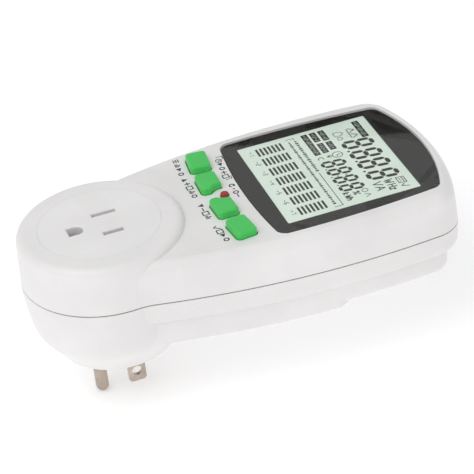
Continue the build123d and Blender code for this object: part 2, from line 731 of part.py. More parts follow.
# --- Contact block: moulded body with a pocket for each female contact ---
POCKETS = (
    (-BLADE_X, BLADE_Y, POCKET_W, NEUTRAL_LEAF_W + POCKET_SLACK),
    (BLADE_X, BLADE_Y, POCKET_W, LINE_LEAF_W + POCKET_SLACK),
    (0.0, 0.0, GROUND_LEAF_GAP + 2 * LEAF_T + 2 * LEAF_FLARE, GROUND_LEAF_W + POCKET_SLACK),
)
TAIL_X = (-BLADE_X - LEAF_T / 2, BLADE_X - LEAF_T / 2, 0.0)
with BuildPart() as contact_block:
    with BuildSketch(Plane.XY.offset(BLOCK_BODY_Z)):
        with Locations((0, HEAD_Y)):
            Circle(BLOCK_BODY_R)
    extrude(amount=INSERT_BOTTOM_Z - BLOCK_BODY_Z)
    with BuildSketch(Plane.XY.offset(EAR_Z[0])):
        with Locations(*BLOCK_SCREWS):
            Circle(EAR_R)
        with Locations((0, HEAD_Y)):
            Rectangle(2 * EAR_X, 2 * EAR_R)
    extrude(amount=EAR_Z[1] - EAR_Z[0])
    with BuildSketch(Plane.XY.offset(POCKET_FLOOR_Z)):
        for pocket_x, pocket_y, pocket_w, pocket_h in POCKETS:
            with Locations((pocket_x, pocket_y)):
                Rectangle(pocket_w, pocket_h)
    extrude(amount=INSERT_BOTTOM_Z - POCKET_FLOOR_Z, mode=Mode.SUBTRACT)
    with BuildSketch(Plane.XY.offset(BLOCK_BODY_Z)):
        for tail_x, pocket in zip(TAIL_X, POCKETS):
            with Locations((tail_x, pocket[1])):
                Rectangle(TAIL_T + 4 * FIT_GAP, TAIL_W + 4 * FIT_GAP)
        with Locations(*BLOCK_SCREWS):
            Circle(SMALL_SCREW_R + SCREW_SLACK)
    extrude(amount=INSERT_BOTTOM_Z - BLOCK_BODY_Z, mode=Mode.SUBTRACT)
write(contact_block, "contact_block")


def contact(x, y, leaf_w, gap, tail_x, tail_z):
    """U-shaped spring contact: two flared leaves on a web, with a tail below."""
    half = gap / 2
    with BuildPart() as piece:
        for side in (-1, 1):
            with BuildSketch(Plane.XZ.offset(-y)):
                with BuildLine():
                    Polyline(
                        (x + side * half, POCKET_FLOOR_Z),
                        (x + side * half, LEAF_TOP_Z - 2 * LEAF_FLARE),
                        (x + side * (half + LEAF_FLARE), LEAF_TOP_Z),
                        (x + side * (half + LEAF_FLARE + LEAF_T), LEAF_TOP_Z),
                        (x + side * (half + LEAF_T), LEAF_TOP_Z - 2 * LEAF_FLARE),
                        (x + side * (half + LEAF_T), POCKET_FLOOR_Z),
                        close=True,
                    )
                make_face()
            extrude(amount=leaf_w / 2, both=True)
        with BuildSketch(Plane.XY.offset(POCKET_FLOOR_Z)):
            with Locations((x, y)):
                Rectangle(gap + 2 * LEAF_T, leaf_w)
        extrude(amount=WEB_T)
        with BuildSketch(Plane.XY.offset(tail_z)):
            with Locations((tail_x, y)):
                Rectangle(TAIL_T, TAIL_W)
        extrude(amount=POCKET_FLOOR_Z - tail_z)
    return piece


neutral_contact = contact(-BLADE_X, BLADE_Y, NEUTRAL_LEAF_W, LEAF_GAP, TAIL_X[0], LINE_TAIL_Z)
write(neutral_contact, "neutral_contact")
line_contact = contact(BLADE_X, BLADE_Y, LINE_LEAF_W, LEAF_GAP, TAIL_X[1], LINE_TAIL_Z)
write(line_contact, "line_contact")
ground_contact = contact(0.0, 0.0, GROUND_LEAF_W, GROUND_LEAF_GAP, TAIL_X[2], LINE_TAIL_Z)
write(ground_contact, "ground_contact")


def bar(x, points):
    """Flat stamped bar in a plane of constant x, from its outline in Y and Z."""
    with BuildPart() as piece:
        with BuildSketch(Plane.YZ.offset(x)):
            with BuildLine():
                Polyline(*points, close=True)
            make_face()
        extrude(amount=BAR_T)
    return piece


# --- Neutral bar: straight from the blade's tail up to the contact's tail ---
BAR_LOW_Y = BLADE_Y - BAR_W / 2
BAR_HIGH_Y = BLADE_Y + BAR_W / 2
NEUTRAL_BAR_X = -BLADE_X - BLADE_T / 2 - BAR_T
BAR_FOOT_Z = CLAMP_TOP_Z + BAR_END_GAP
NEUTRAL_BAR_TOP_Z = BLOCK_BODY_Z - BAR_END_GAP
neutral_bar = bar(
    NEUTRAL_BAR_X,
    (
        (BAR_LOW_Y, BAR_FOOT_Z),
        (BAR_HIGH_Y, BAR_FOOT_Z),
        (BAR_HIGH_Y, NEUTRAL_BAR_TOP_Z),
        (BAR_LOW_Y, NEUTRAL_BAR_TOP_Z),
    ),
)
write(neutral_bar, "neutral_bar")

# --- Line-in bar: from the blade's tail under the power board to its foot ---
line_in_bar = bar(
    BLADE_X + BLADE_T / 2,
    (
        (BAR_LOW_Y, BAR_FOOT_Z),
        (BAR_HIGH_Y, BAR_FOOT_Z),
        (BAR_HIGH_Y, LINE_IN_Z[0]),
        (LINE_IN_FOOT_Y, LINE_IN_Z[0]),
        (LINE_IN_FOOT_Y, POWER_TOP_Z + BAR_FOOT_STICK),
        (LINE_IN_FOOT_Y - BAR_FOOT, POWER_TOP_Z + BAR_FOOT_STICK),
        (LINE_IN_FOOT_Y - BAR_FOOT, LINE_IN_Z[1]),
        (BAR_LOW_Y, LINE_IN_Z[1]),
    ),
)
write(line_in_bar, "line_in_bar")

# --- Line-out bar: from the power board back over to the line contact's tail ---
LINE_OUT_X = TAIL_X[1] - TAIL_T / 2 - BAR_T
line_out_bar = bar(
    LINE_OUT_X,
    (
        (BAR_LOW_Y, LINE_OUT_Z[0]),
        (LINE_OUT_FOOT_Y - BAR_FOOT, LINE_OUT_Z[0]),
        (LINE_OUT_FOOT_Y - BAR_FOOT, POWER_BOARD_Z - BAR_FOOT_STICK),
        (LINE_OUT_FOOT_Y, POWER_BOARD_Z - BAR_FOOT_STICK),
        (LINE_OUT_FOOT_Y, LINE_OUT_Z[1]),
        (BAR_LOW_Y, LINE_OUT_Z[1]),
    ),
)
write(line_out_bar, "line_out_bar")

# --- Ground strap: from the prong's tail up to the ground contact's tail ---
STRAP_X = TAIL_X[2] + TAIL_T / 2
with BuildPart() as ground_strap:
    with BuildSketch(Plane.XZ):
        with BuildLine():
            Polyline(
                (-PRONG_TAIL_R, PRONG_TAIL_Z),
                (STRAP_X + BAR_T, PRONG_TAIL_Z),
                (STRAP_X + BAR_T, NEUTRAL_BAR_TOP_Z),
                (STRAP_X, NEUTRAL_BAR_TOP_Z),
                (STRAP_X, PRONG_TAIL_Z + BAR_T),
                (-PRONG_TAIL_R, PRONG_TAIL_Z + BAR_T),
                close=True,
            )
        make_face()
    extrude(amount=BAR_W / 2, both=True)
write(ground_strap, "ground_strap")

# --- Display: lens, printed mask, LCD glass, reflector, holder and rubber connectors ---
with BuildPart() as display_lens:
    with BuildSketch(Plane.XY.offset(LENS_BOTTOM_Z)):
        add(lens_outline())
    extrude(amount=LENS_T)
    chamfer(display_lens.faces().sort_by(Axis.Z)[-1].edges(), LENS_CHAMFER)
write(display_lens, "display_lens")

with BuildPart() as lens_mask:
    with BuildSketch(Plane.XY.offset(MASK_BOTTOM_Z)):
        add(lens_outline())
        with Locations((WINDOW_X, WINDOW_MID_Y)):
            RectangleRounded(WINDOW_W, WINDOW_H, WINDOW_CORNER_R, mode=Mode.SUBTRACT)
    extrude(amount=MASK_T)
write(lens_mask, "lens_mask")

with BuildPart() as lcd_glass:
    with BuildSketch(Plane.XY.offset(LCD_BOTTOM_Z)):
        with Locations((WINDOW_X, WINDOW_MID_Y)):
            Rectangle(LCD_W, LCD_H)
    extrude(amount=LCD_GLASS_T)
    with BuildSketch(Plane.XY.offset(LCD_BOTTOM_Z + LCD_GLASS_T)):
        with Locations((WINDOW_X, WINDOW_MID_Y)):
            Rectangle(LCD_W - 2 * LCD_LEDGE, LCD_H - 2 * LCD_LEDGE)
    extrude(amount=LCD_FILL_T)
    with BuildSketch(Plane.XY.offset(LCD_TOP_Z - LCD_GLASS_T)):
        with Locations((WINDOW_X, WINDOW_MID_Y)):
            Rectangle(LCD_W, LCD_H - LCD_LEDGE)
    extrude(amount=LCD_GLASS_T)
write(lcd_glass, "lcd_glass")

REFLECTOR_H = LCD_H - 2 * (ZEBRA_T + 2 * LCD_LEDGE)
with BuildPart() as lcd_reflector:
    with BuildSketch(Plane.XY.offset(LCD_BOTTOM_Z - REFLECTOR_T)):
        with Locations((WINDOW_X, WINDOW_MID_Y)):
            Rectangle(LCD_W - LCD_LEDGE, REFLECTOR_H)
    extrude(amount=REFLECTOR_T)
write(lcd_reflector, "lcd_reflector")

ZEBRA_OFFSET = LCD_H / 2 - LCD_LEDGE
ZEBRA_PLACES = ((WINDOW_X, WINDOW_MID_Y - ZEBRA_OFFSET), (WINDOW_X, WINDOW_MID_Y + ZEBRA_OFFSET))
with BuildPart() as zebra_connectors:
    with BuildSketch(Plane.XY.offset(DISPLAY_TOP_Z)):
        with Locations(*ZEBRA_PLACES):
            Rectangle(ZEBRA_W, ZEBRA_T)
    extrude(amount=LCD_BOTTOM_Z - DISPLAY_TOP_Z)
write(zebra_connectors, "zebra_connectors")

with BuildPart() as lcd_holder:
    with BuildSketch(Plane.XY.offset(DISPLAY_TOP_Z)):
        with Locations((WINDOW_X, WINDOW_MID_Y)):
            Rectangle(HOLDER_W, HOLDER_H)
            Rectangle(LCD_W + 2 * FIT_GAP, LCD_H + 2 * FIT_GAP, mode=Mode.SUBTRACT)
    extrude(amount=HOLDER_TOP_Z - DISPLAY_TOP_Z)
    with BuildSketch(Plane.XY.offset(DISPLAY_TOP_Z)):
        with Locations((WINDOW_X, WINDOW_MID_Y)):
            Rectangle(LCD_W + 2 * FIT_GAP, REFLECTOR_H)
            Rectangle(LCD_W - 2 * HOLDER_RIB, REFLECTOR_H - 2 * HOLDER_RIB, mode=Mode.SUBTRACT)
            Rectangle(LCD_W, HOLDER_RIB)
            Rectangle(HOLDER_RIB, REFLECTOR_H)
    extrude(amount=LCD_BOTTOM_Z - REFLECTOR_T - DISPLAY_TOP_Z)
write(lcd_holder, "lcd_holder")

# --- Circuit boards ---
with BuildPart() as display_board:
    with BuildSketch(Plane.XY.offset(DISPLAY_BOARD_Z)):
        add(board_outline(DISPLAY_BOARD_INSET, DISPLAY_BOARD_Y))
        with Locations(*DISPLAY_SCREWS):
            Circle(SMALL_SCREW_R + SCREW_SLACK, mode=Mode.SUBTRACT)
    extrude(amount=BOARD_T)
write(display_board, "display_board")

with BuildPart() as power_board:
    with BuildSketch(Plane.XY.offset(POWER_BOARD_Z)):
        add(board_outline(POWER_BOARD_INSET, POWER_BOARD_Y))
        with Locations(*POWER_SCREWS):
            Circle(SMALL_SCREW_R + SCREW_SLACK, mode=Mode.SUBTRACT)
        with Locations((BLADE_X + BLADE_T / 2 + BAR_T / 2, LINE_IN_FOOT_Y - BAR_FOOT / 2)):
            Rectangle(BAR_T + 4 * FIT_GAP, BAR_FOOT + 4 * FIT_GAP, mode=Mode.SUBTRACT)
        with Locations((LINE_OUT_X + BAR_T / 2, LINE_OUT_FOOT_Y - BAR_FOOT / 2)):
            Rectangle(BAR_T + 4 * FIT_GAP, BAR_FOOT + 4 * FIT_GAP, mode=Mode.SUBTRACT)
    extrude(amount=BOARD_T)
write(power_board, "power_board")

# --- Keys: crowned caps with a flange and a stem, one for each switch ---
FLANGE_TOP_Z = FACE_CAVITY_Z - KEY_FLANGE_GAP
FLANGE_BOTTOM_Z = FLANGE_TOP_Z - KEY_FLANGE_T
KEY_TOP_Z = Z_FACE + KEY_PROUD
for key_name, key_x in zip(KEY_NAMES, KEY_X):
    with BuildPart() as key:
        with BuildSketch(Plane.XY.offset(FLANGE_TOP_Z)):
            add(key_outline(key_x))
        extrude(amount=KEY_TOP_Z - FLANGE_TOP_Z)
        fillet(key.faces().sort_by(Axis.Z)[-1].edges(), KEY_EDGE_R)
        with BuildSketch(Plane.XY.offset(FLANGE_BOTTOM_Z)):
            with Locations(Location((key_x, key_place(key_x)[0]), key_place(key_x)[1])):
                Rectangle(KEY_W, KEY_H + 2 * KEY_FLANGE)
            with Locations((0, RESET_Y)):
                Circle(KEY_NOTCH_R, mode=Mode.SUBTRACT)
        extrude(amount=KEY_FLANGE_T)
        with BuildSketch(Plane.XY.offset(PLUNGER_TOP_Z)):
            with Locations((key_x, key_place(key_x)[0])):
                Circle(PLUNGER_R)
        extrude(amount=FLANGE_BOTTOM_Z - PLUNGER_TOP_Z)
    write(key, f"key_{key_name}")

    with BuildPart() as plunger:
        with BuildSketch(Plane.XY.offset(PLUNGER_FOOT_Z)):
            with Locations((key_x, key_place(key_x)[0])):
                Circle(PLUNGER_R)
        extrude(amount=PLUNGER_TOP_Z - PLUNGER_FOOT_Z)
    write(plunger, f"plunger_{key_name}")

# --- Reset button, with its own smaller switch ---
RESET_TOP_Z = Z_FACE + RESET_PROUD
with BuildPart() as reset_button:
    with BuildSketch(Plane.XY.offset(FLANGE_TOP_Z)):
        with Locations((0, RESET_Y)):
            Circle(RESET_R)
    extrude(amount=RESET_TOP_Z - FLANGE_TOP_Z)
    fillet(reset_button.faces().sort_by(Axis.Z)[-1].edges(), RESET_EDGE_R)
    with BuildSketch(Plane.XY.offset(FLANGE_BOTTOM_Z)):
        with Locations((0, RESET_Y)):
            Circle(RESET_FLANGE_R)
    extrude(amount=KEY_FLANGE_T)
    with BuildSketch(Plane.XY.offset(PLUNGER_TOP_Z)):
        with Locations((0, RESET_Y)):
            Circle(RESET_R)
    extrude(amount=FLANGE_BOTTOM_Z - PLUNGER_TOP_Z)
write(reset_button, "reset_button")

with BuildPart() as plunger_reset:
    with BuildSketch(Plane.XY.offset(PLUNGER_FOOT_Z)):
        with Locations((0, RESET_Y)):
            Circle(RESET_R)
    extrude(amount=PLUNGER_TOP_Z - PLUNGER_FOOT_Z)
write(plunger_reset, "plunger_reset")

# --- Switch bodies on the display board ---
KEY_CENTRES = [(key_x, key_place(key_x)[0]) for key_x in KEY_X]
with BuildPart() as key_switches:
    with BuildSketch(Plane.XY.offset(DISPLAY_TOP_Z)):
        with Locations(*KEY_CENTRES):
            Rectangle(SWITCH_SIDE, SWITCH_SIDE)
    extrude(amount=SWITCH_T)
    with BuildSketch(Plane.XY.offset(SWITCH_BORE_Z)):
        with Locations(*KEY_CENTRES):
            Circle(PLUNGER_R + PLUNGER_GAP)
    extrude(amount=SWITCH_T, mode=Mode.SUBTRACT)
write(key_switches, "key_switches")

with BuildPart() as reset_switch:
    with BuildSketch(Plane.XY.offset(DISPLAY_TOP_Z)):
        with Locations((0, RESET_Y)):
            Rectangle(RESET_SWITCH_SIDE, RESET_SWITCH_SIDE)
    extrude(amount=SWITCH_T)
    with BuildSketch(Plane.XY.offset(SWITCH_BORE_Z)):
        with Locations((0, RESET_Y)):
            Circle(RESET_R + PLUNGER_GAP)
    extrude(amount=SWITCH_T, mode=Mode.SUBTRACT)
write(reset_switch, "reset_switch")

# --- Screws ---
case_screws = screws(
    CASE_SCREWS, CASE_SEAT_Z - CASE_HEAD_T, CASE_HEAD_R, CASE_HEAD_T, CASE_SCREW_R, CASE_SCREW_TOP_Z
)
write(case_screws, "case_screws")
SMALL_HEAD = (SMALL_HEAD_R, SMALL_HEAD_T, SMALL_SCREW_R)
display_board_screws = screws(
    DISPLAY_SCREWS, DISPLAY_BOARD_Z - SMALL_HEAD_T, *SMALL_HEAD, DISPLAY_TOP_Z + SMALL_SCREW_GRIP
)
write(display_board_screws, "display_board_screws")
contact_block_screws = screws(
    BLOCK_SCREWS, EAR_Z[0] - SMALL_HEAD_T, *SMALL_HEAD, EAR_Z[1] + SMALL_SCREW_GRIP
)
write(contact_block_screws, "contact_block_screws")
power_board_screws = screws(
    POWER_SCREWS, POWER_TOP_Z + SMALL_HEAD_T, *SMALL_HEAD, POWER_BOARD_Z - SMALL_SCREW_GRIP, upward=False
)
write(power_board_screws, "power_board_screws")
clamp_screws = screws(
    CLAMP_SCREWS, CLAMP_TOP_Z + SMALL_HEAD_T, *SMALL_HEAD, BOWL_FLOOR_Z - SMALL_SCREW_GRIP, upward=False
)
write(clamp_screws, "clamp_screws")


def chip(centre, size, leads, board_z, way=1):
    """Moulded package with a row of leads along both long sides; way -1 hangs it below a board."""
    width, depth, height = size
    with BuildPart() as piece:
        with BuildSketch(Plane.XY.offset(board_z + way * CHIP_LIFT)):
            with Locations(centre):
                Rectangle(width, depth)
        extrude(amount=way * (height - CHIP_LIFT))
        with BuildSketch(Plane.XY.offset(board_z)):
            with Locations(centre):
                with GridLocations(CHIP_PITCH, depth + LEAD_REACH, leads, 2):
                    Rectangle(LEAD_W, LEAD_REACH)
        extrude(amount=way * LEAD_T)
        with BuildSketch(Plane.XY.offset(board_z)):
            with Locations(centre):
                with GridLocations(CHIP_PITCH, depth + LEAD_T, leads, 2):
                    Rectangle(LEAD_W, LEAD_T)
        extrude(amount=way * height / 2)
    return piece


# --- Packages: metering chip, bridge rectifier and the controller under the display board ---
metering_chip = chip(METER_CHIP, METER_CHIP_SIZE, METER_CHIP_LEADS, POWER_TOP_Z)
write(metering_chip, "metering_chip")
rectifier = chip(BRIDGE, BRIDGE_SIZE, BRIDGE_LEADS, POWER_TOP_Z)
write(rectifier, "rectifier")
controller_chip = chip(CONTROLLER, CONTROLLER_SIZE, CONTROLLER_LEADS, DISPLAY_BOARD_Z, way=-1)
write(controller_chip, "controller_chip")

# --- Mains filter capacitor ---
with BuildPart() as x_capacitor:
    with BuildSketch(Plane.XY.offset(POWER_TOP_Z)):
        with Locations(X_CAP):
            Rectangle(*X_CAP_SIZE[:2])
    extrude(amount=X_CAP_SIZE[2])
    fillet(x_capacitor.edges().filter_by(Axis.Z), X_CAP_EDGE_R)
write(x_capacitor, "x_capacitor")

# --- Varistor: a coated disc standing on two leads ---
MOV_Z = POWER_TOP_Z + MOV_LIFT + MOV_R
with BuildPart() as varistor:
    with BuildSketch(Plane.XZ.offset(-MOV[1])):
        with Locations((MOV[0], MOV_Z)):
            Circle(MOV_R)
    extrude(amount=MOV_T / 2, both=True)
    fillet(varistor.edges().filter_by(GeomType.CIRCLE), MOV_LIFT)
    with BuildSketch(Plane.XY.offset(POWER_TOP_Z)):
        with Locations(MOV):
            with GridLocations(MOV_R, 1, 2, 1):
                Circle(LEAD_R)
    extrude(amount=MOV_R)
write(varistor, "varistor")

# --- Electrolytic filter capacitor ---
with BuildPart() as filter_capacitor:
    with Locations((*CAN, POWER_TOP_Z)):
        Cylinder(CAN_R, CAN_H, align=(Align.CENTER, Align.CENTER, Align.MIN))
    fillet(filter_capacitor.edges().filter_by(GeomType.CIRCLE), CAN_EDGE_R)
    with Locations((*CAN, POWER_TOP_Z + CAN_GROOVE_Z)):
        Torus(CAN_R, CAN_GROOVE_R, mode=Mode.SUBTRACT)
write(filter_capacitor, "filter_capacitor")

# --- Dropper resistor lying along X on its two bent leads ---
RESISTOR_Z = POWER_TOP_Z + RESISTOR_R + LEAD_R
with BuildPart() as dropper_resistor:
    with BuildSketch(Plane.YZ.offset(RESISTOR[0])):
        with Locations((RESISTOR[1], RESISTOR_Z)):
            Circle(RESISTOR_R)
    extrude(amount=RESISTOR_LENGTH / 2, both=True)
    fillet(dropper_resistor.edges().filter_by(GeomType.CIRCLE), CAN_EDGE_R)
    with BuildSketch(Plane.YZ.offset(RESISTOR[0])):
        with Locations((RESISTOR[1], RESISTOR_Z)):
            Circle(LEAD_R)
    extrude(amount=RESISTOR_LENGTH / 2 + RESISTOR_LEAD, both=True)
    with BuildSketch(Plane.XY.offset(POWER_TOP_Z)):
        with Locations(RESISTOR):
            with GridLocations(RESISTOR_LENGTH + 2 * RESISTOR_LEAD - 2 * LEAD_R, 1, 2, 1):
                Circle(LEAD_R)
    extrude(amount=RESISTOR_Z - POWER_TOP_Z)
write(dropper_resistor, "dropper_resistor")

# --- Backup battery: button cells in a row along X, with a tab at each end ---
BATTERY_Z = POWER_TOP_Z + BATTERY_R
BATTERY_SPAN = CELL_PITCH * (CELL_COUNT - 1) + CELL_LENGTH
with BuildPart() as backup_battery:
    for cell in range(CELL_COUNT):
        with BuildSketch(Plane.YZ.offset(BATTERY[0] + (cell - (CELL_COUNT - 1) / 2) * CELL_PITCH)):
            with Locations((BATTERY[1], BATTERY_Z)):
                Circle(BATTERY_R)
        extrude(amount=CELL_LENGTH / 2, both=True)
    with BuildSketch(Plane.YZ.offset(BATTERY[0])):
        with Locations((BATTERY[1], BATTERY_Z)):
            Circle(CELL_NECK_R)
    extrude(amount=BATTERY_SPAN / 2, both=True)
    with BuildSketch(Plane.XY.offset(POWER_TOP_Z)):
        with Locations(BATTERY):
            with GridLocations(BATTERY_SPAN + TAB_T, 1, 2, 1):
                Rectangle(TAB_T, TAB_W)
    extrude(amount=BATTERY_R)
write(backup_battery, "backup_battery")

# --- Crystal can on its foot ---
with BuildPart() as crystal:
    for length, width, height in (CRYSTAL_FOOT, CRYSTAL_SIZE):
        with BuildSketch(Plane.XY.offset(POWER_TOP_Z)):
            with Locations(CRYSTAL):
                SlotOverall(length, width)
        extrude(amount=height)
write(crystal, "crystal")

# --- Current shunt: a strip bent into a bridge ---
with BuildPart() as shunt_resistor:
    with BuildSketch(Plane.XY.offset(POWER_TOP_Z)):
        with Locations(SHUNT):
            Rectangle(*SHUNT_SIZE[:2])
    extrude(amount=SHUNT_SIZE[2])
    with BuildSketch(Plane.XY.offset(POWER_TOP_Z)):
        with Locations(SHUNT):
            Rectangle(SHUNT_SIZE[0], SHUNT_SIZE[1] - 2 * SHUNT_T)
    extrude(amount=SHUNT_SIZE[2] - SHUNT_T, mode=Mode.SUBTRACT)
write(shunt_resistor, "shunt_resistor")

# --- Board-to-board link: pins on the power board, socket on the display board ---
LINK_LENGTH = LINK_PINS * LINK_PITCH
with BuildPart() as link_header:
    with BuildSketch(Plane.XY.offset(POWER_TOP_Z)):
        with Locations((0, LINK_Y)):
            Rectangle(LINK_LENGTH, LINK_BODY_W)
    extrude(amount=LINK_BODY_H)
    with BuildSketch(Plane.XY.offset(POWER_TOP_Z)):
        with Locations((0, LINK_Y)):
            with GridLocations(LINK_PITCH, 1, LINK_PINS, 1):
                Rectangle(LINK_PIN_W, LINK_PIN_W)
    extrude(amount=LINK_PIN_TOP_Z - POWER_TOP_Z)
write(link_header, "link_header")

with BuildPart() as link_socket:
    with BuildSketch(Plane.XY.offset(LINK_SOCKET_Z)):
        with Locations((0, LINK_Y)):
            Rectangle(LINK_LENGTH, LINK_BODY_W)
    extrude(amount=DISPLAY_BOARD_Z - LINK_SOCKET_Z)
    with BuildSketch(Plane.XY.offset(LINK_SOCKET_Z)):
        with Locations((0, LINK_Y)):
            with GridLocations(LINK_PITCH, 1, LINK_PINS, 1):
                Rectangle(LINK_HOLE_W, LINK_HOLE_W)
    extrude(amount=LINK_PIN_TOP_Z + BAR_END_GAP - LINK_SOCKET_Z, mode=Mode.SUBTRACT)
write(link_socket, "link_socket")
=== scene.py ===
import json
import math

import bmesh
import bpy
from mathutils import Matrix, Vector


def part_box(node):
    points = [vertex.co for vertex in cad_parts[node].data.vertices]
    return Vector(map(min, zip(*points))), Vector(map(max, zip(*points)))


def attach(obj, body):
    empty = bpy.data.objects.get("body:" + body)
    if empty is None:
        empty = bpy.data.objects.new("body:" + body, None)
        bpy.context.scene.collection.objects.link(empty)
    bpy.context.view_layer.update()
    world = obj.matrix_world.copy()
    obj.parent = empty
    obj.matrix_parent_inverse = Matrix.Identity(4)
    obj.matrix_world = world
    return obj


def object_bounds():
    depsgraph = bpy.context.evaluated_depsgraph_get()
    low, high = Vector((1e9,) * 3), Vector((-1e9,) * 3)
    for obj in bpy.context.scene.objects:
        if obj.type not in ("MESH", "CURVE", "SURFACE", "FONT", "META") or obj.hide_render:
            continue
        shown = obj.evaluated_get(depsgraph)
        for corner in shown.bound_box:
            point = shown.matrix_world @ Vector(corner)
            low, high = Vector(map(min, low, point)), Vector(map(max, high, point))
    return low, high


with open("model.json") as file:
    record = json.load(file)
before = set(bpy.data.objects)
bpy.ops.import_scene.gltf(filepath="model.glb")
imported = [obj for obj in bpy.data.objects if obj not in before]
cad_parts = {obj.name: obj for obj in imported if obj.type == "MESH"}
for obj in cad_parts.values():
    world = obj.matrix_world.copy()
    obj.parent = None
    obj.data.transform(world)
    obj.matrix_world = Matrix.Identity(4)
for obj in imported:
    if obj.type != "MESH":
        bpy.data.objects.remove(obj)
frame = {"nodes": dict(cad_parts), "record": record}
cad_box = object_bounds()

MM = 0.001
NODES = frame["nodes"]

# --- Heights of the face, the seam and the LCD's front, in millimetres ---
FACE_Z = 44.8
SEAM_Z = 29.7
# Half the height of the painted shade band at the seam
SEAM_HALF = 0.21
LCD_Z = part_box("lcd_glass")[1].z / MM


# --- Materials ---
def shader(name, colour, roughness, metallic=0.0, coat=0.0, subsurface=0.0):
    """New Principled material; returns the material, its node tree and the Principled node."""
    material = bpy.data.materials.new(name)
    material.use_nodes = True
    tree = material.node_tree
    principled = tree.nodes["Principled BSDF"]
    principled.inputs["Base Color"].default_value = (*colour, 1.0)
    principled.inputs["Roughness"].default_value = roughness
    principled.inputs["Metallic"].default_value = metallic
    principled.inputs["Coat Weight"].default_value = coat
    principled.inputs["Coat Roughness"].default_value = 0.08
    principled.inputs["Subsurface Weight"].default_value = subsurface
    principled.inputs["Subsurface Scale"].default_value = 0.002
    return material, tree, principled


def noise(tree, scale, detail=4.0, stretch=(1, 1, 1)):
    """Noise over object coordinates in metres; returns its factor socket."""
    coordinates = tree.nodes.new("ShaderNodeTexCoord")
    mapping = tree.nodes.new("ShaderNodeMapping")
    mapping.inputs["Scale"].default_value = stretch
    tree.links.new(coordinates.outputs["Object"], mapping.inputs["Vector"])
    texture = tree.nodes.new("ShaderNodeTexNoise")
    texture.inputs["Scale"].default_value = scale
    texture.inputs["Detail"].default_value = detail
    tree.links.new(mapping.outputs["Vector"], texture.inputs["Vector"])
    return texture.outputs["Fac"]


def ramp(tree, factor, low, high, start=0.35, end=0.65):
    """Colour ramp between two colours over a factor; returns its colour socket."""
    node = tree.nodes.new("ShaderNodeValToRGB")
    node.color_ramp.elements[0].position = start
    node.color_ramp.elements[0].color = (*low, 1.0)
    node.color_ramp.elements[1].position = end
    node.color_ramp.elements[1].color = (*high, 1.0)
    tree.links.new(factor, node.inputs["Fac"])
    return node.outputs["Color"]


def spread(tree, factor, low, high):
    """Factor mapped to the range low to high; returns its value socket."""
    node = tree.nodes.new("ShaderNodeMapRange")
    node.inputs["To Min"].default_value = low
    node.inputs["To Max"].default_value = high
    tree.links.new(factor, node.inputs["Value"])
    return node.outputs["Result"]


def bump(tree, principled, height, distance, strength=1.0):
    """Bump of a height socket on the Principled node's normal."""
    node = tree.nodes.new("ShaderNodeBump")
    node.inputs["Strength"].default_value = strength
    node.inputs["Distance"].default_value = distance
    tree.links.new(height, node.inputs["Height"])
    tree.links.new(node.outputs["Normal"], principled.inputs["Normal"])


def scaled(colour, factor):
    """Colour times a factor."""
    return tuple(channel * factor for channel in colour)


def plastic(name, colour, roughness, grain=9000.0, depth=0.000006, mottle=0.03, coat=0.0, subsurface=0.0):
    """Moulded plastic: fine spark-eroded grain, slow mottling and uneven gloss."""
    material, tree, principled = shader(name, colour, roughness, coat=coat, subsurface=subsurface)
    slow = noise(tree, 45.0, 3.0)
    fine = noise(tree, grain, 2.0)
    tinted = ramp(tree, slow, scaled(colour, 1 - mottle), scaled(colour, 1 + mottle))
    tree.links.new(tinted, principled.inputs["Base Color"])
    tree.links.new(spread(tree, slow, roughness - 0.05, roughness + 0.05), principled.inputs["Roughness"])
    bump(tree, principled, fine, depth)
    return material


def metal(name, colour, roughness, stretch=(1, 1, 1), scale=900.0, depth=0.000008):
    """Drawn or stamped metal: streaks along one direction in gloss and height, and soft patches in
    colour.
    """
    material, tree, principled = shader(name, colour, roughness, metallic=1.0)
    streaks = noise(tree, scale, 5.0, stretch)
    patches = noise(tree, 120.0, 3.0)
    tinted = ramp(tree, patches, scaled(colour, 0.82), scaled(colour, 1.08))
    tree.links.new(tinted, principled.inputs["Base Color"])
    uneven = spread(tree, streaks, roughness - 0.08, roughness + 0.12)
    tree.links.new(uneven, principled.inputs["Roughness"])
    bump(tree, principled, streaks, depth)
    return material


def painted_seam_shade(material, colour):
    """Painted shade in the groove where the two shells meet, as a dark band of object Z."""
    tree = material.node_tree
    principled = tree.nodes["Principled BSDF"]
    separate = tree.nodes.new("ShaderNodeSeparateXYZ")
    tree.links.new(tree.nodes.new("ShaderNodeTexCoord").outputs["Object"], separate.inputs["Vector"])
    band = tree.nodes.new("ShaderNodeMath")
    band.operation = "COMPARE"
    band.inputs[1].default_value = SEAM_Z * MM
    band.inputs[2].default_value = SEAM_HALF * MM
    tree.links.new(separate.outputs["Z"], band.inputs[0])
    mix = tree.nodes.new("ShaderNodeMix")
    mix.data_type = "RGBA"
    tree.links.new(band.outputs["Value"], mix.inputs["Factor"])
    tree.links.new(principled.inputs["Base Color"].links[0].from_socket, mix.inputs["A"])
    mix.inputs["B"].default_value = (*colour, 1.0)
    tree.links.new(mix.outputs["Result"], principled.inputs["Base Color"])
    return material


